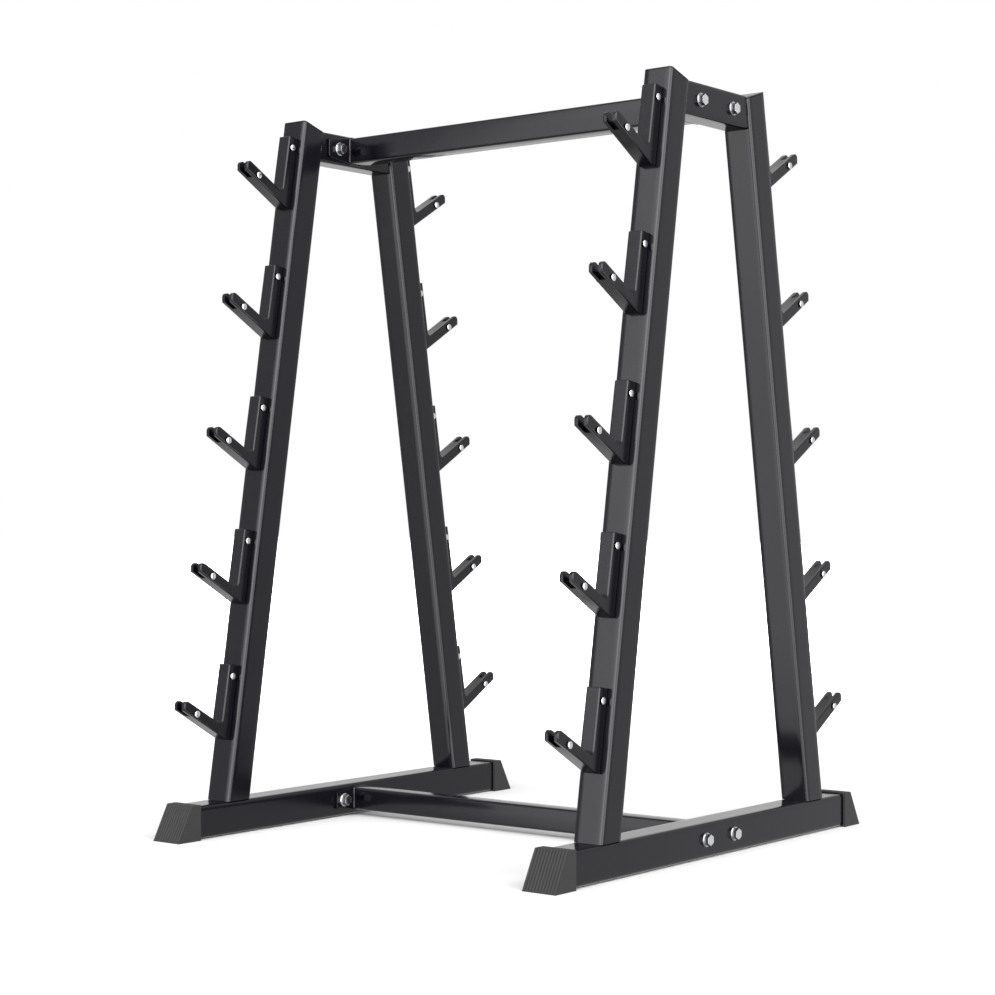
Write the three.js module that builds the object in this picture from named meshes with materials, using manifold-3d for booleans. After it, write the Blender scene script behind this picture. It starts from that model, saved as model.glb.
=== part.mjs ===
// Double-sided storage rack for fixed barbells: two A-frames of steel tube, joined by an upper and a
// lower cross tube, with five moulded cradles up the outside of each upright.
// Millimetres, +Z up. X runs along the cross tubes, Y from the front uprights (-Y) to the rear ones.
// The origin is on the floor, under the middle of the rack.

import * as THREE from 'three';
import { mergeVertices } from 'three/addons/utils/BufferGeometryUtils.js';
import Module from 'manifold-3d';

const wasm = await Module();
wasm.setup();

// Driving dimensions

const rack = {
  width: 966, // over the outer faces of the two A-frames
  depth: 1048, // over the feet, on the floor
  height: 1450, // floor to the outer top edge of an upright
};

const fit = {
  gap: 0.3, // between a piece and its seat
  overrun: 5, // how far a cutting solid runs past the face it cuts
};

const upright = {
  side: 61.4, // square tube
  wall: 3,
  corner: 6, // outside corner radius
  footSpread: 768.3, // over the outer faces, where the uprights stand on the base rail
  topSpread: 321.6, // the same, at the top
  topCutAngle: 17.5, // degrees that the top end falls towards the middle of the rack
};

const cap = {
  thickness: 3,
  chamfer: 0.8,
  plugWall: 2.5,
  plugDepth: 16, // how far the plug reaches into the tube
};

const rail = {
  height: 64,
  wall: 3,
  corner: 6,
};

const foot = {
  sole: 2.7, // rubber under the rail
  wall: 5, // rubber beside the rail
  cover: 3, // and over it
  floorLength: 60.5,
  topLength: 23.5,
  socketDepth: 19, // how far the rail goes into the foot
  ribs: 11,
  grooveWidth: 2.6,
  grooveDepth: 1.2,
};

const topTube = {
  width: 51,
  height: 63.2,
  wall: 3,
  corner: 5,
  belowTop: 47.2, // its middle below the top of the rack
};

const upperTube = {
  width: 50.5,
  height: 53.8,
  wall: 2.5,
  corner: 5,
};

const lowerTube = {
  width: 38.4,
  height: 46.6,
  wall: 2.5,
  corner: 5,
  aboveFloor: 36, // its middle
};

const plate = {
  thickness: 6,
  corner: 4, // radius at the ends of the ears
};

const upperPlate = {
  length: 176,
  earHeight: 38,
  boltInset: 32.2, // from the end of an ear
};

const lowerPlate = {
  length: 142,
  earHeight: 34,
  boltInset: 22.5,
};

const bolt = {
  shank: 12,
  hole: 13,
  acrossFlats: 19.2,
  headHeight: 7.5,
  nutHeight: 9.5,
  flange: 28,
  flangeThickness: 2.5,
  faceAngle: 30, // degrees, of the chamfer round the hexagon's face
  bore: 12.6, // thread of the nut, left plain
  recess: 0.5, // the end of the bolt lies this far inside the nut's face
};

const cradle = {
  perUpright: 5,
  lowest: 249.5, // leg rivet of the lowest one, up the outer face from the base rail
  highest: 60, // leg rivet of the highest one, down the same face from its top
  width: 29,
  legTop: 23.4, // thickness of the leg at its top end
  legRoot: 25.3, // and where the arm leaves it
  legAboveRivet: 21.5,
  rivetToArm: 99.8, // leg rivet down to the corner between leg and arm
  armAngle: 20.9, // degrees that the arm rises from square to the upright
  armLength: 112, // corner to tip, along the arm
  armThickness: 20.8,
  heel: 10, // from the upright out to where the underside of the arm starts
  slotWidth: 13,
  slotLength: 31,
  legEdge: 2, // radius at the ends of the leg
  seatRadius: 8, // in the corner that holds the bar
  tipRadius: 8, // of the upper corner
  edge: 0.6, // chamfer along both sides
};

const tongue = {
  thickness: 6, // steel plate welded to the upright, inside the cradle
  cover: 4.5, // moulding round it
  slotWall: 3, // moulding between its end and the slot
  root: 1.5, // how far the weld ties it into the tube's wall
  clearance: 0.3,
};

const smooth = {
  corner: 2, // curve segments of a tube corner
  seat: 2,
  round: 16, // sides of a bolt
};

// Sizes that follow from the ones above

const railTop = foot.sole + rail.height;
const railHalf = rack.depth / 2 - foot.floorLength + foot.socketDepth;
const lean = (upright.footSpread - upright.topSpread) / 2 / (rack.height - railTop);
const leanAngle = Math.atan(lean);
const uprightDepth = upright.side / Math.cos(leanAngle); // measured level, along Y
const outerFaceLength = (rack.height - railTop) / Math.cos(leanAngle);
const cradlePitch = (outerFaceLength - cradle.lowest - cradle.highest) / (cradle.perUpright - 1);
const topCut = Math.tan(THREE.MathUtils.degToRad(upright.topCutAngle));
const frameCentre = rack.width / 2 - upright.side / 2;
const armAngle = THREE.MathUtils.degToRad(cradle.armAngle);
const plumbEnd = Math.tan(armAngle + leanAngle); // lean of an upright end face from square to the arm

// The two bolted joints of a frame: heights above the floor, and half widths about its middle plane
const joints = [
  {
    level: 'upper',
    plate: upperPlate,
    tube: upperTube,
    centre: rack.height - topTube.belowTop,
    halfWidth: topTube.width / 2,
  },
  {
    level: 'lower',
    plate: lowerPlate,
    tube: lowerTube,
    centre: lowerTube.aboveFloor,
    halfWidth: upright.side / 2,
  },
];
const [upperJoint, lowerJoint] = joints;

// Materials

const powderCoat = { color: 0x1d1d20, roughness: 0.32, metalness: 0.1 };
const mouldedNylon = { color: 0x1b1b1d, roughness: 0.42, metalness: 0 };
const rubber = { color: 0x3c3c3b, roughness: 0.9, metalness: 0 };
const zinc = { color: 0xb9bbbe, roughness: 0.35, metalness: 1 };

// Solids: joining and cutting closed meshes

function toSolid(geometry) {
  const bare = geometry.clone();
  bare.deleteAttribute('normal');
  bare.deleteAttribute('uv');
  const merged = mergeVertices(bare);
  return new wasm.Manifold(new wasm.Mesh({
    numProp: 3,
    vertProperties: merged.attributes.position.array,
    triVerts: Uint32Array.from(merged.index.array),
  }));
}

function toGeometry(solid) {
  const mesh = solid.getMesh();
  const geometry = new THREE.BufferGeometry();
  geometry.setAttribute('position', new THREE.BufferAttribute(mesh.vertProperties.slice(), 3));
  geometry.setIndex(new THREE.BufferAttribute(mesh.triVerts.slice(), 1));
  return geometry;
}

function join(first, ...others) {
  return toGeometry(others.reduce((sum, each) => sum.add(toSolid(each)), toSolid(first)));
}

function cut(body, ...tools) {
  return toGeometry(tools.reduce((rest, each) => rest.subtract(toSolid(each)), toSolid(body)));
}

function common(first, second) {
  return toGeometry(toSolid(first).intersect(toSolid(second)));
}

// Outlines

function roundedOutline(corners, path = new THREE.Shape()) {
  // A closed outline through [x, y, radius] corners, each one turned by an arc
  const count = corners.length;
  corners.forEach(([x, y, radius], i) => {
    const here = new THREE.Vector2(x, y);
    const back = new THREE.Vector2(...corners[(i + count - 1) % count]).sub(here).normalize();
    const ahead = new THREE.Vector2(...corners[(i + 1) % count]).sub(here).normalize();
    const half = Math.acos(THREE.MathUtils.clamp(back.dot(ahead), -1, 1)) / 2;
    const tangent = radius / Math.tan(half);
    const start = here.clone().addScaledVector(back, tangent);
    if (i === 0) path.moveTo(start.x, start.y);
    else path.lineTo(start.x, start.y);
    if (radius > 0) {
      const end = here.clone().addScaledVector(ahead, tangent);
      const middle = back.clone().add(ahead).normalize().multiplyScalar(radius / Math.sin(half)).add(here);
      const from = Math.atan2(start.y - middle.y, start.x - middle.x);
      const to = Math.atan2(end.y - middle.y, end.x - middle.x);
      path.absarc(middle.x, middle.y, radius, from, to, back.cross(ahead) > 0);
    }
  });
  path.closePath();
  return path;
}

function boxCorners(width, height, radius) {
  return [[-1, -1], [1, -1], [1, 1], [-1, 1]].map(([x, y]) => [x * width / 2, y * height / 2, radius]);
}

function tubeSection(width, height, wall, corner) {
  const section = roundedOutline(boxCorners(width, height, corner));
  const inside = boxCorners(width - 2 * wall, height - 2 * wall, Math.max(corner - wall, 0));
  section.holes.push(roundedOutline(inside, new THREE.Path()));
  return section;
}

// Extrusions

const xAxis = new THREE.Vector3(1, 0, 0);
const yAxis = new THREE.Vector3(0, 1, 0);
const zAxis = new THREE.Vector3(0, 0, 1);
const alongX = new THREE.Matrix4().makeBasis(yAxis, zAxis, xAxis);
const alongY = new THREE.Matrix4().makeBasis(zAxis, xAxis, yAxis);

function extrude(shape, depth, curveSegments = smooth.corner) {
  return new THREE.ExtrudeGeometry(shape, { depth, bevelEnabled: false, curveSegments })
    .translate(0, 0, -depth / 2);
}

function cylinderX(diameter, length) {
  return new THREE.CylinderGeometry(diameter / 2, diameter / 2, length, smooth.round).rotateZ(Math.PI / 2);
}

function moveVertices(geometry, move) {
  const position = geometry.attributes.position;
  const point = new THREE.Vector3();
  for (let i = 0; i < position.count; i += 1) {
    point.fromBufferAttribute(position, i);
    move(point);
    position.setXYZ(i, point.x, point.y, point.z);
  }
  return geometry;
}

// A level section, pushed up the lean of the front upright between two end planes.
// Each plane has its height at the outer face and its fall towards the middle of the rack.
function leaningPrism(shape, low, high, settings = {}) {
  const geometry = new THREE.ExtrudeGeometry(shape, {
    depth: 1, bevelEnabled: false, curveSegments: smooth.corner, ...settings,
  });
  geometry.computeBoundingBox();
  const { min, max } = geometry.boundingBox;
  const heightOn = (plane, inset) => plane.height - plane.fall * inset / (1 + plane.fall * lean);
  return moveVertices(geometry, (point) => {
    const inset = point.y + uprightDepth / 2;
    const share = (point.z - min.z) / (max.z - min.z);
    point.z = THREE.MathUtils.lerp(heightOn(low, inset), heightOn(high, inset), share);
    point.y = outerFaceY(point.z) + inset;
  });
}

function outerFaceY(z) {
  return lean * (z - railTop) - upright.footSpread / 2;
}

// The cradle's side view: q runs out from the upright's face, h up along it from the leg rivet.
// An inset outline lies that far inside the moulding, as the steel tongue in it does.
function hookOutline(inset, back, end, radii) {
  const along = new THREE.Vector2(Math.cos(armAngle), Math.sin(armAngle));
  const across = new THREE.Vector2(along.y, -along.x); // from the top of the arm to its underside
  const top = cradle.legAboveRivet - inset;
  const taper = (cradle.legRoot - cradle.legTop) / (cradle.legAboveRivet + cradle.rivetToArm);
  const legFront = (h) => cradle.legTop - inset + taper * (cradle.legAboveRivet - h);
  const seat = new THREE.Vector2(cradle.legRoot, -cradle.rivetToArm);
  const onArm = (down, out) => seat.clone().addScaledVector(across, down).addScaledVector(along, out);
  const onEnd = (down) => onArm(down, end.out + end.lean * (cradle.armThickness / 2 - down));
  const armTop = onArm(inset, 0);
  const rise = along.y / along.x;
  const cornerH = armTop.y + rise * (legFront(armTop.y) - armTop.x);
  const tipTop = onEnd(inset);
  const tipLow = onEnd(cradle.armThickness - inset);
  const fullDepth = onArm(cradle.armThickness, 0);
  const heelH = fullDepth.y - rise * (fullDepth.x - cradle.heel) + inset;
  const heelQ = tipLow.x - (tipLow.y - heelH) / rise;
  return roundedOutline([
    [back, heelH, 0],
    [heelQ, heelH, 0],
    [tipLow.x, tipLow.y, 0],
    [tipTop.x, tipTop.y, radii.tip],
    [legFront(cornerH), cornerH, radii.seat],
    [legFront(top), top, radii.top],
    [back, top, 0],
  ]);
}

// Places a side view (q, h) as a solid in a frame whose outward direction is -Y and whose +Z is up
const sideView = new THREE.Matrix4().makeBasis(
  yAxis.clone().negate(), zAxis, xAxis.clone().negate(),
);

function hookFrame(index) {
  // Where a cradle sits on the front upright of an A-frame
  const height = cradle.lowest + cradlePitch * index;
  return new THREE.Matrix4().makeRotationX(-leanAngle).setPosition(
    0,
    outerFaceY(railTop) + height * Math.sin(leanAngle),
    railTop + height * Math.cos(leanAngle),
  );
}

// Pieces of an A-frame, made for the front one of two and for the frame at +X

function makeTongue() {
  const inset = tongue.cover;
  const radii = { tip: 0, seat: cradle.seatRadius, top: 0 };
  const end = { out: cradle.armLength - cradle.slotLength - tongue.slotWall, lean: 0 };
  return extrude(hookOutline(inset, -tongue.root, end, radii), tongue.thickness, smooth.seat)
    .applyMatrix4(sideView);
}

function makeCradle() {
  const end = { out: cradle.armLength, lean: plumbEnd };
  const side = hookOutline(0, fit.gap, end, {
    tip: cradle.tipRadius, seat: cradle.seatRadius, top: cradle.legEdge,
  });
  const depth = cradle.width - 2 * cradle.edge;
  const body = new THREE.ExtrudeGeometry(side, {
    depth, curveSegments: smooth.seat, bevelSegments: 1,
    bevelThickness: cradle.edge, bevelSize: cradle.edge, bevelOffset: -cradle.edge,
  }).translate(0, 0, -depth / 2).applyMatrix4(sideView);
  const slotStart = cradle.armLength - cradle.slotLength;
  const pocketEnd = { out: slotStart - tongue.slotWall + tongue.clearance, lean: 0 };
  const pocketRadii = { tip: 0, seat: cradle.seatRadius, top: 0 };
  const pocket = extrude(
    hookOutline(tongue.cover - tongue.clearance, -fit.overrun, pocketEnd, pocketRadii),
    tongue.thickness + 2 * tongue.clearance, smooth.seat,
  ).applyMatrix4(sideView);
  const slotEnd = cradle.armLength + cradle.armThickness / 2 * plumbEnd + fit.overrun;
  const slotHeight = cradle.armThickness + 2 * fit.overrun;
  const slotMiddle = new THREE.Vector2((slotStart + slotEnd) / 2, -cradle.armThickness / 2)
    .rotateAround(new THREE.Vector2(), armAngle);
  const slot = new THREE.BoxGeometry(slotEnd - slotStart, slotHeight, cradle.slotWidth)
    .rotateZ(armAngle)
    .translate(cradle.legRoot + slotMiddle.x, slotMiddle.y - cradle.rivetToArm, 0)
    .applyMatrix4(sideView);
  return cut(body, pocket, slot);
}

function makeUpright() {
  const section = tubeSection(upright.side, uprightDepth, upright.wall, upright.corner);
  const tube = leaningPrism(
    section,
    { height: railTop + fit.gap, fall: 0 },
    { height: rack.height - cap.thickness - fit.gap, fall: topCut },
  );
  const places = Array.from({ length: cradle.perUpright }, (_, i) => hookFrame(i));
  return join(tube, ...places.map((place) => makeTongue().applyMatrix4(place)));
}

function makeCap() {
  const outline = roundedOutline(boxCorners(upright.side, uprightDepth, upright.corner));
  const rim = leaningPrism(
    outline,
    { height: rack.height - cap.thickness, fall: topCut },
    { height: rack.height, fall: topCut },
    {
      bevelEnabled: true,
      bevelSegments: 1,
      bevelThickness: cap.chamfer / (cap.thickness - 2 * cap.chamfer),
      bevelSize: cap.chamfer,
      bevelOffset: -cap.chamfer,
    },
  );
  const inner = 2 * (upright.wall + fit.gap);
  const plugCorner = Math.max(upright.corner - upright.wall - fit.gap, 0);
  const plug = leaningPrism(
    tubeSection(upright.side - inner, uprightDepth - inner, cap.plugWall, plugCorner),
    { height: rack.height - cap.thickness - cap.plugDepth, fall: topCut },
    { height: rack.height - cap.thickness / 2, fall: topCut },
  );
  return join(rim, plug);
}

function boltOffset(joint) {
  return joint.plate.length / 2 - joint.plate.boltInset;
}

function boltHoles(joint, length) {
  return [-1, 1].map((end) => (
    cylinderX(bolt.hole, length).translate(0, end * boltOffset(joint), joint.centre)
  ));
}

function makeRail() {
  const tube = extrude(tubeSection(rail.height, upright.side, rail.wall, rail.corner), 2 * railHalf)
    .applyMatrix4(alongY)
    .translate(0, 0, foot.sole + rail.height / 2);
  return cut(tube, ...boltHoles(lowerJoint, upright.side + fit.overrun));
}

function makeTopTube() {
  const tube = extrude(tubeSection(topTube.height, topTube.width, topTube.wall, topTube.corner), 1)
    .applyMatrix4(alongY)
    .translate(0, 0, upperJoint.centre);
  moveVertices(tube, (point) => {
    const reach = -outerFaceY(point.z) - uprightDepth - fit.gap;
    point.y = Math.sign(point.y) * reach;
  });
  return cut(tube, ...boltHoles(upperJoint, topTube.width + fit.overrun));
}

function makeFoot() {
  // The floor outline, with grooves down the outer end; every point then slides in as it rises
  const half = upright.side / 2 + foot.wall;
  const inner = foot.floorLength - rack.depth / 2;
  const outer = -rack.depth / 2;
  const pitch = 2 * half / foot.ribs;
  const shape = new THREE.Shape().moveTo(-half, inner).lineTo(-half, outer);
  for (let i = 1; i < foot.ribs; i += 1) {
    const x = i * pitch - half;
    shape.lineTo(x - foot.grooveWidth / 2, outer);
    shape.lineTo(x, outer + foot.grooveDepth);
    shape.lineTo(x + foot.grooveWidth / 2, outer);
  }
  shape.lineTo(half, outer).lineTo(half, inner);
  const height = railTop + foot.cover;
  const slope = (foot.floorLength - foot.topLength) / height;
  const body = moveVertices(extrude(shape, height).translate(0, 0, height / 2), (point) => {
    if (point.y < (inner + outer) / 2) point.y += slope * point.z;
  });
  const depth = foot.socketDepth + fit.gap;
  const socket = extrude(
    roundedOutline(boxCorners(rail.height + 2 * fit.gap, upright.side + 2 * fit.gap, rail.corner)),
    depth + fit.overrun,
  ).applyMatrix4(alongY).translate(0, inner - depth / 2 + fit.overrun / 2, foot.sole + rail.height / 2);
  return cut(body, socket);
}

function makePlate(joint) {
  const shoulder = joint.tube.width / 2;
  const [end, ear, full] = [joint.plate.length / 2, joint.plate.earHeight / 2, joint.tube.height / 2];
  const outline = roundedOutline([
    [-end, -ear, plate.corner], [-shoulder, -full, 0], [shoulder, -full, 0], [end, -ear, plate.corner],
    [end, ear, plate.corner], [shoulder, full, 0], [-shoulder, full, 0], [-end, ear, plate.corner],
  ]);
  const sheet = extrude(outline, plate.thickness).applyMatrix4(alongX).translate(0, 0, joint.centre);
  return cut(sheet, ...boltHoles(joint, plate.thickness + fit.overrun));
}

// Fasteners, along X, with the face that bears on the steel at the origin and the head at +X

function makeHexHead(height) {
  const radius = bolt.acrossFlats / Math.sqrt(3);
  const prism = new THREE.CylinderGeometry(radius, radius, height, 6);
  const rim = bolt.acrossFlats / 2;
  const outer = radius + fit.overrun;
  const fall = (outer - rim) * Math.tan(THREE.MathUtils.degToRad(bolt.faceAngle));
  const profile = [
    [0, -height / 2], [outer, -height / 2], [outer, height / 2 - fall], [rim, height / 2], [0, height / 2],
  ];
  const cone = new THREE.LatheGeometry(profile.map(([r, y]) => new THREE.Vector2(r, y)), smooth.round);
  return common(prism, cone)
    .rotateZ(-Math.PI / 2)
    .translate(height / 2, 0, 0);
}

function makeBolt(grip) {
  const length = grip + bolt.flangeThickness + bolt.nutHeight - bolt.recess;
  const head = makeHexHead(bolt.headHeight + bolt.flangeThickness);
  const flange = cylinderX(bolt.flange, bolt.flangeThickness).translate(bolt.flangeThickness / 2, 0, 0);
  const tail = length + bolt.flangeThickness;
  const shank = cylinderX(bolt.shank, tail).translate(bolt.flangeThickness - tail / 2, 0, 0);
  return join(head, flange, shank);
}

function makeNut() {
  const height = bolt.nutHeight + bolt.flangeThickness;
  const flange = cylinderX(bolt.flange, bolt.flangeThickness).translate(bolt.flangeThickness / 2, 0, 0);
  const bore = cylinderX(bolt.bore, height + 2 * fit.overrun).translate(height / 2, 0, 0);
  return cut(join(makeHexHead(height), flange), bore);
}

function makeCrossTube({ tube, centre, halfWidth }) {
  const length = 2 * (frameCentre - halfWidth - plate.thickness - 2 * fit.gap);
  return extrude(tubeSection(tube.width, tube.height, tube.wall, tube.corner), length)
    .applyMatrix4(alongX)
    .translate(0, 0, centre);
}

// The assembly

function piece(name, geometry, finish) {
  const mesh = new THREE.Mesh(geometry, new THREE.MeshStandardMaterial(finish));
  mesh.name = name;
  return mesh;
}

function makeFasteners(name, joint, end) {
  const { halfWidth, centre } = joint;
  const grip = 2 * halfWidth + plate.thickness + 3 * fit.gap;
  const y = end * boltOffset(joint);
  const screw = piece(`${name}_bolt`, makeBolt(grip), zinc);
  screw.position.set(halfWidth + fit.gap, y, centre);
  const nut = piece(`${name}_nut`, makeNut(), zinc);
  nut.position.set(-halfWidth - plate.thickness - 2 * fit.gap, y, centre);
  nut.rotation.z = Math.PI;
  return [screw, nut];
}

function makeEnd(side, end) {
  // The pieces at the front end of an A-frame
  const group = new THREE.Group();
  group.add(
    piece(`${end}_${side}_upright`, makeUpright(), powderCoat),
    piece(`${end}_${side}_top_cap`, makeCap(), mouldedNylon),
    piece(`${end}_${side}_foot`, makeFoot(), rubber),
  );
  for (let i = 0; i < cradle.perUpright; i += 1) {
    const mesh = piece(`${end}_${side}_cradle_${i + 1}`, makeCradle(), mouldedNylon);
    mesh.applyMatrix4(hookFrame(i));
    group.add(mesh);
  }
  return group;
}

function makeFrame(side, ends) {
  const frame = new THREE.Group();
  frame.add(
    piece(`${side}_base_rail`, makeRail(), powderCoat),
    piece(`${side}_top_tube`, makeTopTube(), powderCoat),
  );
  for (const joint of joints) {
    const flange = piece(`${joint.level}_${side}_end_plate`, makePlate(joint), powderCoat);
    flange.position.x = -joint.halfWidth - fit.gap - plate.thickness / 2;
    frame.add(flange);
    ends.forEach((end, i) => {
      frame.add(...makeFasteners(`${joint.level}_${side}_${end}`, joint, i ? 1 : -1));
    });
  }
  ends.forEach((end, i) => {
    const half = makeEnd(side, end);
    half.rotation.z = i * Math.PI;
    frame.add(half);
  });
  return frame;
}

const model = new THREE.Group();

const rightFrame = makeFrame('right', ['front', 'rear']);
rightFrame.position.x = frameCentre;

// The left A-frame is the right one turned half round
const leftFrame = makeFrame('left', ['rear', 'front']);
leftFrame.position.x = -frameCentre;
leftFrame.rotation.z = Math.PI;

model.add(
  rightFrame,
  leftFrame,
  piece('upper_cross_tube', makeCrossTube(upperJoint), powderCoat),
  piece('lower_cross_tube', makeCrossTube(lowerJoint), powderCoat),
);

export default model;
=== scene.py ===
import math

import bpy
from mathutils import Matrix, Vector


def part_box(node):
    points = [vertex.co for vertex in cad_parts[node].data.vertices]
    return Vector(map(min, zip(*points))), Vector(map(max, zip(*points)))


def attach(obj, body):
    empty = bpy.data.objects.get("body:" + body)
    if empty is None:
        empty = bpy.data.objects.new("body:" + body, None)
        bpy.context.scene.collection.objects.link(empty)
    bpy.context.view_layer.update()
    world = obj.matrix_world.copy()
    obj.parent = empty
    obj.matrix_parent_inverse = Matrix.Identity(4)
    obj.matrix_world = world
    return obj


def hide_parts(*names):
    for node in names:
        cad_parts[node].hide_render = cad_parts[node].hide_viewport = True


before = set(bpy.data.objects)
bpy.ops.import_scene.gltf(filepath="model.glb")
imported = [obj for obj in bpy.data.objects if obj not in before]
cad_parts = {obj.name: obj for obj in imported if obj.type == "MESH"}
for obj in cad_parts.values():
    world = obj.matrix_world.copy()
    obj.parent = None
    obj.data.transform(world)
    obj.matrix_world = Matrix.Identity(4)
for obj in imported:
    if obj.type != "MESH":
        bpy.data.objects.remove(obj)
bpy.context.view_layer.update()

print("frame loaded:", len(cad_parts), "nodes")

sides = ("right", "left")
ends = ("front", "rear")
levels = ("upper", "lower")

# small tools for working as by hand


def deselectAll():
    for obj in bpy.context.selected_objects:
        obj.select_set(False)


def pick(obj):
    deselectAll()
    obj.select_set(True)
    bpy.context.view_layer.objects.active = obj


def named(name):
    obj = bpy.context.object
    obj.name = name
    obj.data.name = name
    return obj


def editAll(obj):
    pick(obj)
    bpy.ops.object.mode_set(mode="EDIT")
    bpy.ops.mesh.select_all(action="SELECT")


def endEdit():
    bpy.ops.object.mode_set(mode="OBJECT")


def selectWhere(obj, kind, test):
    # picks faces or edges by a test on their middle (and a face's normal), from object mode
    bpy.ops.mesh.select_all(action="DESELECT")
    endEdit()
    mesh = obj.data
    if kind == "FACE":
        for face in mesh.polygons:
            face.select = test(face.center, face.normal)
    else:
        for edge in mesh.edges:
            first, second = (mesh.vertices[v].co for v in edge.vertices)
            edge.select = test((first + second) / 2, (second - first).normalized())
    bpy.ops.object.mode_set(mode="EDIT")
    bpy.ops.mesh.select_mode(type=kind)


def applyAll(obj):
    pick(obj)
    for modifier in list(obj.modifiers):
        bpy.ops.object.modifier_apply(modifier=modifier.name)


def settle(obj):
    # leaves the object at the origin, with its place in its mesh
    pick(obj)
    bpy.ops.object.transform_apply(location=True, rotation=True, scale=True)


def cut(obj, tool, operation):
    boolean = obj.modifiers.new("cut", "BOOLEAN")
    boolean.operation = operation
    boolean.solver = "EXACT"
    boolean.object = tool
    applyAll(obj)
    bpy.data.objects.remove(tool)


def smoothen(obj, angle):
    pick(obj)
    bpy.ops.object.shade_smooth_by_angle(angle=math.radians(angle))
    weights = obj.modifiers.new("weights", "WEIGHTED_NORMAL")
    weights.keep_sharp = True
    weights.weight = 100
    applyAll(obj)


def copied(obj, name):
    twin = obj.copy()
    twin.data = obj.data.copy()
    twin.name = name
    twin.data.name = name
    bpy.context.collection.objects.link(twin)
    return twin


def handOver(obj, material, slot, *nodes):
    obj.data.materials.clear()
    obj.data.materials.append(material)
    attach(obj, "root")
    if nodes:
        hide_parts(*nodes)


# shared effects, as node groups


def newGroup(name, inputs, outputs):
    group = bpy.data.node_groups.new(name, "ShaderNodeTree")
    for label, kind, value in inputs:
        socket = group.interface.new_socket(label, in_out="INPUT", socket_type=kind)
        if value is not None:
            socket.default_value = value
    for label, kind in outputs:
        group.interface.new_socket(label, in_out="OUTPUT", socket_type=kind)
    return group, group.nodes.new("NodeGroupInput"), group.nodes.new("NodeGroupOutput")


def mathNode(tree, operation, first, second=None, clamp=False):
    node = tree.nodes.new("ShaderNodeMath")
    node.operation = operation
    node.use_clamp = clamp
    for socket, value in zip(node.inputs, (first, second)):
        if isinstance(value, bpy.types.NodeSocket):
            tree.links.new(value, socket)
        elif value is not None:
            socket.default_value = value
    return node.outputs[0]


def noiseNode(tree, vector, scale, detail, rough=0.5):
    node = tree.nodes.new("ShaderNodeTexNoise")
    node.inputs["Detail"].default_value = detail
    node.inputs["Roughness"].default_value = rough
    tree.links.new(vector, node.inputs["Vector"])
    if isinstance(scale, bpy.types.NodeSocket):
        tree.links.new(scale, node.inputs["Scale"])
    else:
        node.inputs["Scale"].default_value = scale
    return node.outputs["Fac"]


def rangeNode(tree, value, low, high, newLow, newHigh):
    node = tree.nodes.new("ShaderNodeMapRange")
    tree.links.new(value, node.inputs["Value"])
    for label, number in zip(("From Min", "From Max", "To Min", "To Max"), (low, high, newLow, newHigh)):
        if isinstance(number, bpy.types.NodeSocket):
            tree.links.new(number, node.inputs[label])
        else:
            node.inputs[label].default_value = number
    return node.outputs["Result"]


grainDetail = {"fine": 2.0, "cloud": 4.0, "cloudRough": 0.6}


def makeSurfaceGrain():
    # fine relief and a slow cloud of tone, both about 0.5
    group, given, out = newGroup(
        "surfaceGrain",
        [("Vector", "NodeSocketVector", None), ("Fine Scale", "NodeSocketFloat", 900.0),
         ("Cloud Scale", "NodeSocketFloat", 14.0)],
        [("Height", "NodeSocketFloat"), ("Cloud", "NodeSocketFloat")],
    )
    place = given.outputs["Vector"]
    fine = noiseNode(group, place, given.outputs["Fine Scale"], grainDetail["fine"])
    cloud = noiseNode(
        group, place, given.outputs["Cloud Scale"], grainDetail["cloud"], grainDetail["cloudRough"]
    )
    group.links.new(fine, out.inputs["Height"])
    group.links.new(cloud, out.inputs["Cloud"])
    return group


# where the outer edges turn lighter: worn edges, and a painted highlight along them
edgeRubAndHighlightShape = {
    "samples": 4,
    "turn": (0.99, 0.8),  # how alike the eased and the true normal are, from bare face to edge
    "breakupDetail": 3.0,
    "patches": (0.45, 0.7),
}


def makeEdgeRubAndHighlight():
    # white along outer edges, broken up by noise: worn edges, and a painted highlight along them
    group, given, out = newGroup(
        "edgeRubAndHighlight",
        [("Vector", "NodeSocketVector", None), ("Width", "NodeSocketFloat", 0.0012),
         ("Breakup Scale", "NodeSocketFloat", 160.0)],
        [("Mask", "NodeSocketFloat")],
    )
    bevel = group.nodes.new("ShaderNodeBevel")
    bevel.samples = edgeRubAndHighlightShape["samples"]
    group.links.new(given.outputs["Width"], bevel.inputs["Radius"])
    geometry = group.nodes.new("ShaderNodeNewGeometry")
    dot = group.nodes.new("ShaderNodeVectorMath")
    dot.operation = "DOT_PRODUCT"
    group.links.new(bevel.outputs["Normal"], dot.inputs[0])
    group.links.new(geometry.outputs["Normal"], dot.inputs[1])
    edge = rangeNode(group, dot.outputs["Value"], *edgeRubAndHighlightShape["turn"], 0.0, 1.0)
    scale = given.outputs["Breakup Scale"]
    breakup = noiseNode(group, given.outputs["Vector"], scale, edgeRubAndHighlightShape["breakupDetail"])
    patches = rangeNode(group, breakup, *edgeRubAndHighlightShape["patches"], 0.0, 1.0)
    group.links.new(mathNode(group, "MULTIPLY", edge, patches, True), out.inputs["Mask"])
    return group


surfaceGrain = makeSurfaceGrain()
edgeRubAndHighlight = makeEdgeRubAndHighlight()

# finishes

cloudSpread = (0.3, 0.7)  # where most of the cloud's values lie


def startMaterial(name, preview):
    material = bpy.data.materials.new(name)
    material.use_nodes = True
    material.diffuse_color = (*preview, 1)
    tree = material.node_tree
    shader = tree.nodes["Principled BSDF"]
    place = tree.nodes.new("ShaderNodeTexCoord").outputs["Object"]
    return material, tree, shader, place


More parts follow.
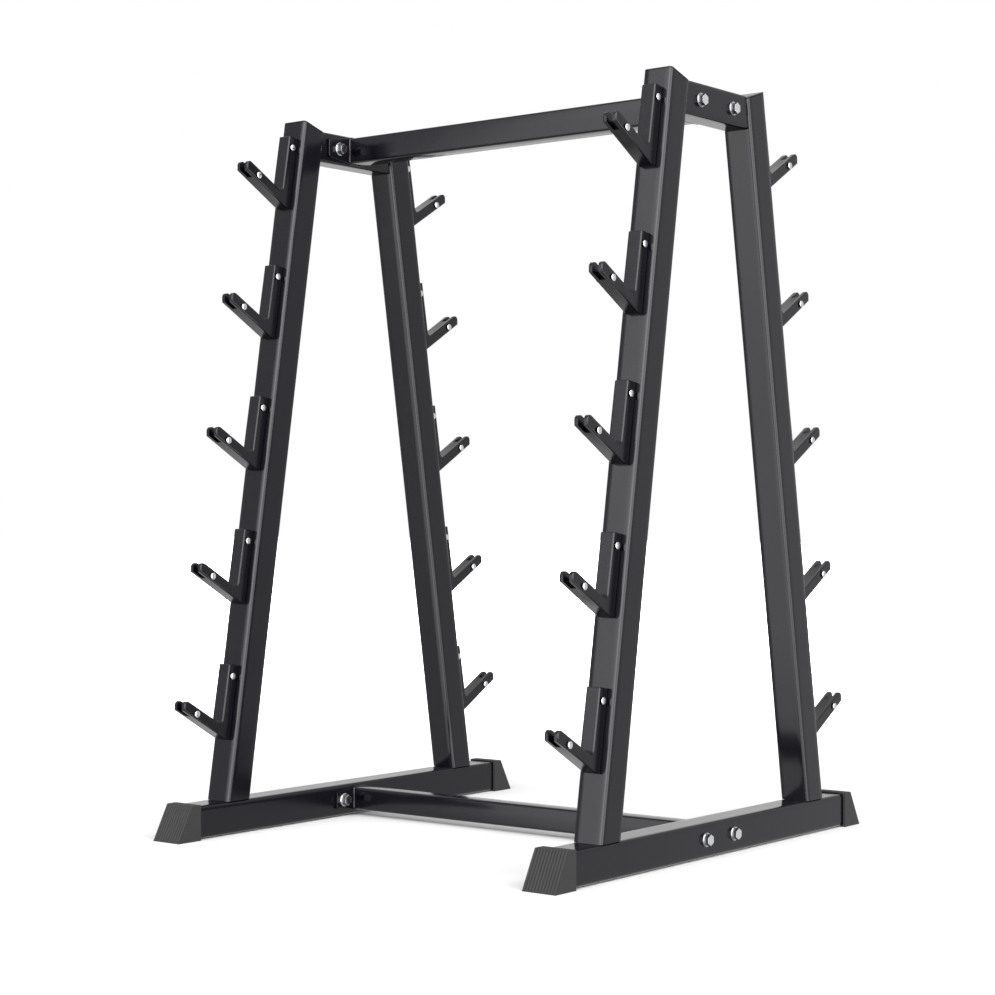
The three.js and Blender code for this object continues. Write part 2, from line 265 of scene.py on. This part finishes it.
def useGroup(tree, group, place, **values):
    node = tree.nodes.new("ShaderNodeGroup")
    node.node_tree = group
    tree.links.new(place, node.inputs["Vector"])
    for label, value in values.items():
        node.inputs[label.replace("_", " ")].default_value = value
    return node.outputs


def mixColour(tree, factor, first, second):
    node = tree.nodes.new("ShaderNodeMix")
    node.data_type = "RGBA"
    tree.links.new(factor, node.inputs["Factor"])
    for socket, colour in ((node.inputs[6], first), (node.inputs[7], second)):
        if isinstance(colour, bpy.types.NodeSocket):
            tree.links.new(colour, socket)
        else:
            socket.default_value = (*colour, 1)
    return node.outputs[2]


def relief(tree, shader, height, strength, distance):
    bump = tree.nodes.new("ShaderNodeBump")
    bump.inputs["Strength"].default_value = strength
    bump.inputs["Distance"].default_value = distance
    tree.links.new(height, bump.inputs["Height"])
    tree.links.new(bump.outputs["Normal"], shader.inputs["Normal"])


def makeDarkFinish(name, look):
    material, tree, shader, place = startMaterial(name, look["colour"])
    shader.inputs["IOR"].default_value = look["ior"]
    scales = {"Fine_Scale": look["grainScale"], "Cloud_Scale": look["cloudScale"]}
    grain = useGroup(tree, surfaceGrain, place, **scales)
    rubAndHighlight = useGroup(tree, edgeRubAndHighlight, place, Width=look["edgeWidth"])
    cloudy = mixColour(tree, grain["Cloud"], look["colour"], look["cloudColour"])
    # lighter outer edges: worn paint, and a painted highlight along the edges
    rubAndHighlightShare = mathNode(tree, "MULTIPLY", rubAndHighlight["Mask"], look["edgeRubAndHighlightShare"])
    colour = mixColour(tree, rubAndHighlightShare, cloudy, look["edgeColour"])
    tree.links.new(colour, shader.inputs["Base Color"])
    roughness = rangeNode(tree, grain["Cloud"], *cloudSpread, *look["roughness"])
    tree.links.new(roughness, shader.inputs["Roughness"])
    relief(tree, shader, grain["Height"], look["reliefStrength"], look["reliefDepth"])
    return material


powderCoatLook = {
    "colour": (0.0006, 0.0005, 0.0018),
    "cloudColour": (0.0009, 0.0008, 0.0022),
    "edgeColour": (0.012, 0.012, 0.014),
    "edgeWidth": 0.0012,
    "edgeRubAndHighlightShare": 0.5,
    "grainScale": 420.0,  # orange peel, about 2 mm
    "cloudScale": 9.0,
    "roughness": (0.15, 0.19),
    "ior": 1.34,
    "reliefStrength": 0.04,
    "reliefDepth": 0.0004,
}
powderCoat = makeDarkFinish("powderCoat", powderCoatLook)

cradleLook = {
    "colour": (0.0006, 0.0005, 0.0016),
    "cloudColour": (0.001, 0.0009, 0.002),
    "edgeColour": (0.012, 0.012, 0.013),
    "edgeWidth": 0.0008,
    "edgeRubAndHighlightShare": 0.4,
    "grainScale": 900.0,  # spark-eroded mould texture
    "cloudScale": 30.0,
    "roughness": (0.2, 0.24),
    "ior": 1.34,
    "reliefStrength": 0.06,
    "reliefDepth": 0.0002,
}
cradleMoulding = makeDarkFinish("cradleMoulding", cradleLook)

capLook = dict(cradleLook, roughness=(0.22, 0.3), grainScale=700.0)
capMoulding = makeDarkFinish("capMoulding", capLook)

# painted shade in the grooves down a foot's end, and on the foot's other faces: places by the distance from
# the middle of its frame
grooves = {
    "frame": 0.4523,
    "pitch": 0.00649,
    "width": (0.0006, 0.0022),
    "shade": 0.3,  # painted shade at the bottom of a groove
    "plain": 0.78,  # painted shade on the other faces
    "gloss": 0.46,
    "end": (0.3, 0.4),  # how far a face turns along Y to count as the grooved end
}


# darkens a foot's colour: painted shade in the grooves down its end, and on its other faces
def shadeGrooves(material, look):
    tree = material.node_tree
    shader = tree.nodes["Principled BSDF"]
    place = tree.nodes.new("ShaderNodeSeparateXYZ")
    tree.links.new(tree.nodes.new("ShaderNodeTexCoord").outputs["Object"], place.inputs[0])
    across = mathNode(tree, "SUBTRACT", mathNode(tree, "ABSOLUTE", place.outputs["X"]), look["frame"])
    half = look["pitch"] / 2
    away = mathNode(tree, "PINGPONG", mathNode(tree, "ADD", across, half), half)
    shade = rangeNode(tree, away, *look["width"], look["shade"], 1.0)
    facing = tree.nodes.new("ShaderNodeSeparateXYZ")
    tree.links.new(tree.nodes.new("ShaderNodeNewGeometry").outputs["Normal"], facing.inputs[0])
    turned = mathNode(tree, "ABSOLUTE", facing.outputs["Y"])
    onEnd = rangeNode(tree, turned, *look["end"], 0.0, 1.0)
    factor = rangeNode(tree, onEnd, 0.0, 1.0, look["plain"], shade)
    coat = shader.inputs["Base Color"].links[0].from_socket
    paintedShadeColour = mixColour(tree, factor, (0, 0, 0), coat)
    tree.links.new(paintedShadeColour, shader.inputs["Base Color"])
    shader.inputs["Specular IOR Level"].default_value = look["gloss"]


rubberLook = {
    "colour": (0.0148, 0.0148, 0.0146),
    "cloudColour": (0.0192, 0.0192, 0.0188),
    "edgeColour": (0.022, 0.022, 0.0215),
    "edgeWidth": 0.0015,
    "edgeRubAndHighlightShare": 0.5,
    "grainScale": 1500.0,
    "cloudScale": 40.0,
    "roughness": (0.72, 0.85),
    "ior": 1.3,
    "reliefStrength": 0.25,
    "reliefDepth": 0.0004,
}
footRubber = makeDarkFinish("footRubber", rubberLook)
shadeGrooves(footRubber, grooves)

zincLook = {
    "colour": (0.48, 0.49, 0.505),
    "cloudColour": (0.58, 0.59, 0.605),
    "grainScale": 1400.0,
    "cloudScale": 120.0,
    "roughness": (0.24, 0.3),
    "reliefStrength": 0.12,
    "reliefDepth": 0.0002,
    "flats": (0.65, 0.97, 0.16, 1.0),  # painted shade: from and to this turn along X, the share of the colour
    "handed": True,  # the turn counts from the middle of the rack outwards
}
# rivets: painted shade round the rims of their domes; nuts: painted shade all over, deepest on the face
# towards the middle of the rack
rivetLook = dict(zincLook, flats=(0.2, 0.9, 0.3, 1.0), handed=False, roughness=(0.11, 0.16))
nutLook = dict(zincLook, flats=(-0.98, -0.75, 0.27, 0.6))


def makeZinc(name, look):
    material, tree, shader, place = startMaterial(name, look["colour"])
    shader.inputs["Metallic"].default_value = 1.0
    scales = {"Fine_Scale": look["grainScale"], "Cloud_Scale": look["cloudScale"]}
    grain = useGroup(tree, surfaceGrain, place, **scales)
    facing = tree.nodes.new("ShaderNodeSeparateXYZ")
    tree.links.new(tree.nodes.new("ShaderNodeNewGeometry").outputs["Normal"], facing.inputs[0])
    if look["handed"]:
        apart = tree.nodes.new("ShaderNodeSeparateXYZ")
        tree.links.new(place, apart.inputs[0])
        outward = mathNode(tree, "SIGN", apart.outputs["X"])
        turned = mathNode(tree, "MULTIPLY", facing.outputs["X"], outward)
    else:
        turned = mathNode(tree, "ABSOLUTE", facing.outputs["X"])
    # painted shade on faces that turn away from X: the sides of heads, the flange rims, the rims of rivet
    # domes
    shadeShare = rangeNode(tree, turned, *look["flats"])
    cloudy = mixColour(tree, grain["Cloud"], look["colour"], look["cloudColour"])
    tree.links.new(mixColour(tree, shadeShare, (0, 0, 0), cloudy), shader.inputs["Base Color"])
    roughness = rangeNode(tree, grain["Cloud"], *cloudSpread, *look["roughness"])
    tree.links.new(roughness, shader.inputs["Roughness"])
    relief(tree, shader, grain["Height"], look["reliefStrength"], look["reliefDepth"])
    return material


zincPlate = makeZinc("zincPlate", zincLook)
rivetZinc = makeZinc("rivetZinc", rivetLook)
nutZinc = makeZinc("nutZinc", nutLook)
print("finishes made")

# steelwork, mouldings and feet: the frame's own shapes, merged, with eased edges

easing = {"plate": 0.0009, "cap": 0.0003, "foot": 0.0008}
easingAngle = 50.0
merging = {"reach": 0.00001, "angle": 0.5}  # of the frame's loose triangles
smoothAngle = 48.0  # degrees: more than a step of a round corner or a chamfer, less than a real edge
grooveAngle = 30.0  # the flanks of a foot's grooves stay crisp
lean = math.atan(0.16147)  # of the uprights, towards the middle of the rack

# a drawn tube has no sharp line where its corner starts: the flat turns gently over this width
gentle = {
    "upright": 0.014,
    "rail": 0.012,
    "cross": 0.0015,
    "cradle": 0.003,
    "cradleSide": 0.003,
}


def rawCopy(node):
    words = node.split("_")
    piece = bpy.data.objects.new("piece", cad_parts[node].data.copy())
    piece.name = words[0] + "".join(word.capitalize() for word in words[1:])
    piece.data.name = piece.name
    bpy.context.collection.objects.link(piece)
    editAll(piece)
    bpy.ops.mesh.customdata_custom_splitnormals_clear()
    bpy.ops.mesh.remove_doubles(threshold=merging["reach"])
    bpy.ops.mesh.dissolve_limited(angle_limit=math.radians(merging["angle"]))
    endEdit()
    return piece


def dress(node, kind, material, slot):
    piece = rawCopy(node)
    bevel = piece.modifiers.new("easing", "BEVEL")
    bevel.width = easing[kind]
    bevel.segments = 2
    bevel.limit_method = "ANGLE"
    bevel.angle_limit = math.radians(easingAngle)
    applyAll(piece)
    smoothen(piece, grooveAngle if kind == "foot" else smoothAngle)
    handOver(piece, material, slot, node)


def addLoops(piece, axis, low, high, inset):
    # two loops along a tube's flats, parallel to its sides: axis is square to those sides
    editAll(piece)
    for point, sign in ((low, 1), (high, -1)):
        bpy.ops.mesh.select_all(action="SELECT")
        bpy.ops.mesh.bisect(plane_co=point + axis * sign * inset, plane_no=axis)
    endEdit()


def shadeGently(piece):
    pick(piece)
    bpy.ops.object.shade_smooth_by_angle(angle=math.radians(smoothAngle))


def dressTube(node, axes, inset):
    low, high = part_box(node)
    piece = rawCopy(node)
    for axis in axes:
        addLoops(piece, axis, low, high, inset)
    shadeGently(piece)
    handOver(piece, powderCoat, "frame_coat", node)


def dressUpright(end, side):
    node = f"{end}_{side}_upright"
    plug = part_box(f"{end}_{side}_top_cap")
    out = 1 if end == "rear" else -1
    piece = rawCopy(node)
    low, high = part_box(node)
    addLoops(piece, Vector((1, 0, 0)), low, high, gentle["upright"])
    square = Vector((0, out * math.cos(lean), math.sin(lean)))
    outer = Vector((0, plug[1].y if out > 0 else plug[0].y, low.z))
    rise = high.z - low.z
    outer.y += out * rise * math.tan(lean)
    depth = high.x - low.x
    addLoops(piece, -square, outer, outer - square * depth, gentle["upright"])
    shadeGently(piece)
    handOver(piece, powderCoat, "frame_coat", node)


sideFace = {"turn": 0.99, "reach": 0.0001}  # what counts as a cradle's flat side


def dressCradle(node):
    low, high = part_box(node)
    piece = rawCopy(node)
    addLoops(piece, Vector((1, 0, 0)), low, high, gentle["cradle"])
    bpy.ops.object.mode_set(mode="EDIT")
    selectWhere(piece, "FACE", lambda middle, normal: abs(normal.x) > sideFace["turn"] and (
        min(middle.x - low.x, high.x - middle.x) < sideFace["reach"]
    ))
    bpy.ops.mesh.inset(thickness=gentle["cradleSide"], depth=0)
    endEdit()
    shadeGently(piece)
    handOver(piece, cradleMoulding, "cradle_moulding", node)


acrossX, acrossY, acrossZ = Vector((1, 0, 0)), Vector((0, 1, 0)), Vector((0, 0, 1))
for side in sides:
    dressTube(f"{side}_base_rail", (acrossX, acrossZ), gentle["rail"])
    dressTube(f"{side}_top_tube", (acrossX, acrossZ), gentle["rail"])
    for level in levels:
        dress(f"{level}_{side}_end_plate", "plate", powderCoat, "frame_coat")
    for end in ends:
        dressUpright(end, side)
        dress(f"{end}_{side}_top_cap", "cap", capMoulding, "cap_moulding")
        dress(f"{end}_{side}_foot", "foot", footRubber, "foot_rubber")
        for number in range(1, 6):
            dressCradle(f"{end}_{side}_cradle_{number}")
for level in levels:
    dressTube(f"{level}_cross_tube", (acrossY, acrossZ), gentle["cross"])
print("steelwork, cradles, caps and feet dressed")

# bolts and nuts, modelled once along +X with the bearing face at x = 0

boltSize = {
    "flange": 0.0278,
    "flangeThick": 0.0025,
    "flangeRim": 0.0018,
    "acrossFlats": 0.0191,
    "headHeight": 0.0075,
    "nutHeight": 0.0095,
    "faceBevel": 0.0011,
    "shank": 0.012,
    "bore": 0.0126,
    "faces": 48,
    "overrun": 0.001,  # of the tool that cuts the bore
    "smoothAngle": 30,
}
rim = {"reach": 0.00001, "slope": 0.1}  # what counts as an edge of a flat end


def makeCylinder(name, diameter, low, high, faces):
    bpy.ops.mesh.primitive_cylinder_add(
        vertices=faces, radius=diameter / 2, depth=high - low,
        location=((low + high) / 2, 0, 0), rotation=(0, math.pi / 2, 0),
    )
    obj = named(name)
    settle(obj)
    return obj


def bevelRim(obj, x, width, segments):
    editAll(obj)
    selectWhere(obj, "EDGE", lambda middle, along: (
        abs(middle.x - x) < rim["reach"] and abs(along.x) < rim["slope"]
    ))
    bpy.ops.mesh.bevel(offset=width, segments=segments, affect="EDGES")
    endEdit()


def makeHexBody(name, size, height):
    corner = size["acrossFlats"] / math.cos(math.pi / 6)
    body = makeCylinder(name, corner, 0, height, 6)
    body.rotation_euler.x = math.radians(30)  # a corner on top
    settle(body)
    bevelRim(body, height, size["faceBevel"], 2)
    return body


def makeFlange(name, size):
    flange = makeCylinder(name, size["flange"], 0, size["flangeThick"], size["faces"])
    bevelRim(flange, size["flangeThick"], size["flangeRim"], 1)
    return flange


def makeBolt(size, reach, tail):
    bolt = makeFlange("boltModel", size)
    cut(bolt, makeHexBody("boltHex", size, reach), "UNION")
    shank = makeCylinder("boltShank", size["shank"], -tail, size["flangeThick"], size["faces"])
    bevelRim(shank, -tail, size["faceBevel"], 2)
    cut(bolt, shank, "UNION")
    smoothen(bolt, size["smoothAngle"])
    return bolt


def makeNut(size, reach):
    nut = makeFlange("nutModel", size)
    cut(nut, makeHexBody("nutHex", size, reach), "UNION")
    bore = makeCylinder("nutBore", size["bore"], -size["overrun"], reach + size["overrun"], size["faces"])
    cut(nut, bore, "DIFFERENCE")
    smoothen(nut, size["smoothAngle"])
    return nut


def placeOnAxis(model, material, name, node, outward, reach):
    # the CAD fastener's far face says where the bearing face is
    low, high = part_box(node)
    piece = copied(model, name)
    if outward < 0:
        piece.rotation_euler.z = math.pi
    bearing = (high.x - reach) if outward > 0 else (low.x + reach)
    piece.location = (bearing, (low.y + high.y) / 2, (low.z + high.z) / 2)
    settle(piece)
    handOver(piece, material, "zinc_plate", node)


headReach = boltSize["flangeThick"] + boltSize["headHeight"]
nutReach = boltSize["flangeThick"] + boltSize["nutHeight"]
nutModel = makeNut(boltSize, nutReach)
for level in levels:
    low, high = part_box(f"{level}_right_front_bolt")
    boltModel = makeBolt(boltSize, headReach, high.x - low.x - headReach)
    for side in sides:
        outward = 1 if side == "right" else -1
        for end in ends:
            node = f"{level}_{side}_{end}"
            name = f"{level}{side.capitalize()}{end.capitalize()}"
            placeOnAxis(boltModel, zincPlate, name + "Bolt", node + "_bolt", outward, headReach)
            placeOnAxis(nutModel, nutZinc, name + "Nut", node + "_nut", -outward, nutReach)
    bpy.data.objects.remove(boltModel)
bpy.data.objects.remove(nutModel)
print("bolts and nuts made")

# rivets: one modelled as two domed heads on a shank, then copied to each place

rivet = {
    "diameter": 0.0136,
    "height": 0.0015,
    "shank": 0.005,
    "rings": 12,
    "faces": 32,
    "sunk": 0.0005,  # the shank runs into the heads
    "smoothAngle": 40,
}
cradleSeat = {
    "backHeight": 0.1494,  # length of the leg's back, from its lowest point
    "leg": (0.0121, 0.1264),  # rivet places: out from the back face, up along it
    "arm": (0.0982, 0.0433),
}


def makeRivet(size, width):
    bpy.ops.mesh.primitive_uv_sphere_add(
        segments=size["faces"], ring_count=size["rings"], radius=size["diameter"] / 2,
        rotation=(0, math.pi / 2, 0),
    )
    head = named("rivetModel")
    settle(head)
    editAll(head)
    bpy.ops.mesh.bisect(plane_co=(0, 0, 0), plane_no=(1, 0, 0), use_fill=True, clear_inner=True)
    bpy.ops.mesh.select_all(action="SELECT")
    bpy.ops.transform.resize(value=(2 * size["height"] / size["diameter"], 1, 1))
    bpy.ops.transform.translate(value=(width / 2, 0, 0))
    endEdit()
    other = copied(head, "rivetOther")
    other.rotation_euler.z = math.pi
    settle(other)
    reach = width / 2 + size["sunk"]
    shank = makeCylinder("rivetShank", size["shank"], -reach, reach, size["faces"])
    cut(head, other, "UNION")
    cut(head, shank, "UNION")
    smoothen(head, size["smoothAngle"])
    return head


def rivetPlace(node, outward, spot):
    low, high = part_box(node)
    inner = low.y if outward > 0 else high.y  # the leg's back at its top
    out, up = cradleSeat[spot]
    foot = inner + outward * cradleSeat["backHeight"] * math.sin(lean)
    y = foot + outward * (out * math.cos(lean) - up * math.sin(lean))
    z = low.z + up * math.cos(lean) + out * math.sin(lean)
    return Vector(((low.x + high.x) / 2, y, z))


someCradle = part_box("front_right_cradle_1")
rivetModel = makeRivet(rivet, someCradle[1].x - someCradle[0].x)
for side in sides:
    for end in ends:
        for number in range(1, 6):
            node = f"{end}_{side}_cradle_{number}"
            for spot in ("leg", "arm"):
                name = f"{end}{side.capitalize()}{spot.capitalize()}Rivet{number}"
                piece = copied(rivetModel, name)
                piece.location = rivetPlace(node, 1 if end == "rear" else -1, spot)
                settle(piece)
                handOver(piece, rivetZinc, "zinc_plate")
bpy.data.objects.remove(rivetModel)
print("rivets made")

# weld beads round the cross tubes, where they meet their end plates

weld = {"radius": 0.0024, "corner": 0.005, "cornerSteps": 5, "roundness": 3}


def makeWeld(level, side):
    low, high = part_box(f"{level}_cross_tube")
    x = high.x if side == "right" else low.x
    centre = (low + high) / 2
    bpy.ops.mesh.primitive_plane_add(size=1, location=(x, centre.y, centre.z), rotation=(0, math.pi / 2, 0))
    bead = named(f"{level}{side.capitalize()}Weld")
    bead.scale = (high.z - low.z, high.y - low.y, 1)
    settle(bead)
    editAll(bead)
    bpy.ops.mesh.bevel(offset=weld["corner"], segments=weld["cornerSteps"], affect="VERTICES")
    bpy.ops.mesh.select_all(action="SELECT")
    bpy.ops.mesh.delete(type="ONLY_FACE")
    endEdit()
    bpy.ops.object.convert(target="CURVE")
    bead = bpy.context.object
    bead.data.bevel_depth = weld["radius"]
    bead.data.bevel_resolution = weld["roundness"]
    bpy.ops.object.convert(target="MESH")
    bead = bpy.context.object
    pick(bead)
    bpy.ops.object.shade_smooth()
    handOver(bead, powderCoat, "frame_coat")


for level in levels:
    for side in sides:
        makeWeld(level, side)
print("welds made")

# floor, light and camera

studio = {
    "floorSize": 60.0,
    "floorColour": 0.5,
    "floorSeen": (0.45, 2.0),  # for the camera, near the rack and far off: only close shadows show
    "floorReach": (0.9, 6.0),
    "skyStrength": 0.85,
    "skySeen": 1.0,
}


def lightPathMask(tree, *rays):
    paths = tree.nodes.new("ShaderNodeLightPath")
    total = paths.outputs[rays[0]]
    for ray in rays[1:]:
        total = mathNode(tree, "MAXIMUM", total, paths.outputs[ray])
    return total


def makeFloor():
    bpy.ops.mesh.primitive_plane_add(size=studio["floorSize"], location=(0, 0, 0))
    floor = named("floor")
    material = bpy.data.materials.new("floorWhite")
    material.use_nodes = True
    tree = material.node_tree
    tree.nodes.remove(tree.nodes["Principled BSDF"])
    diffuse = tree.nodes.new("ShaderNodeBsdfDiffuse")
    reach = tree.nodes.new("ShaderNodeVectorMath")
    reach.operation = "LENGTH"
    tree.links.new(tree.nodes.new("ShaderNodeTexCoord").outputs["Object"], reach.inputs[0])
    seen = rangeNode(tree, reach.outputs["Value"], *studio["floorReach"], *studio["floorSeen"])
    colour = rangeNode(tree, lightPathMask(tree, "Is Camera Ray"), 0.0, 1.0, studio["floorColour"], seen)
    tree.links.new(colour, diffuse.inputs["Color"])
    tree.links.new(diffuse.outputs[0], tree.nodes["Material Output"].inputs["Surface"])
    floor.data.materials.append(material)
    floor.visible_glossy = False


def makeSky():
    world = bpy.data.worlds.new("sky")
    bpy.context.scene.world = world
    world.use_nodes = True
    tree = world.node_tree
    sky = tree.nodes["Background"]
    sky.inputs["Color"].default_value = (1, 1, 1, 1)
    seen = lightPathMask(tree, "Is Camera Ray", "Is Glossy Ray", "Is Transmission Ray")
    strength = rangeNode(tree, seen, 0.0, 1.0, studio["skyStrength"], studio["skySeen"])
    tree.links.new(strength, sky.inputs["Strength"])


# a wide ring of soft boxes on the camera's side: edges of each by azimuth from -Y towards +X, in tiers by
# elevation with a share of the radiance for each
lightRing = {
    "distance": 40.0,
    "tiers": [(-22.3, -8, 0.55), (-8, 14, 0.7), (14, 52, 0.83)],
    "boxes": [
        (-38.2, -24, 4.5),
        (-24, -2, 7.0),
        (-2, 17, 10.5),
        (17, 41, 13.0),
        (41, 73, 7.0),
        (73, 96, 8.7),
        (96, 114, 8.7),
    ],
}


def makeSoftBox(name, start, stop, low, high, radiance):
    middle, half = math.radians(start + stop) / 2, math.radians(stop - start) / 2
    reach = lightRing["distance"]
    bottom, top = (reach * math.tan(math.radians(elevation)) for elevation in (low, high))
    width, height = 2 * reach * math.tan(half), top - bottom
    place = Vector((math.sin(middle) * reach, -math.cos(middle) * reach, (bottom + top) / 2))
    bpy.ops.object.light_add(type="AREA", location=place, rotation=(math.pi / 2, 0, middle))
    lamp = named(name)
    lamp.data.shape = "RECTANGLE"
    lamp.data.size = width
    lamp.data.size_y = height
    lamp.data.energy = radiance * math.pi * width * height
    lamp.visible_camera = False


view = {
    "place": (2.6668, -3.4622, 0.6542),
    "azimuth": 38.066,
    "elevation": -0.204,
    "roll": -0.053,
    "lens": 78.98,
    "sensor": 36,
    "farthest": 200,
}


def makeCamera():
    turn = (90 - view["elevation"], -view["roll"], view["azimuth"])
    bpy.ops.object.camera_add(location=view["place"], rotation=[math.radians(angle) for angle in turn])
    camera = named("camera")
    camera.data.sensor_width = view["sensor"]
    camera.data.lens = view["lens"]
    camera.data.clip_end = view["farthest"]
    bpy.context.scene.camera = camera


makeFloor()
makeSky()
for number, (start, stop, radiance) in enumerate(lightRing["boxes"]):
    for tier, (low, high, share) in enumerate(lightRing["tiers"]):
        makeSoftBox(f"softBox{number + 1}Tier{tier + 1}", start, stop, low, high, radiance * share)
makeCamera()
bpy.context.scene.view_settings.view_transform = "Standard"
print("studio set")
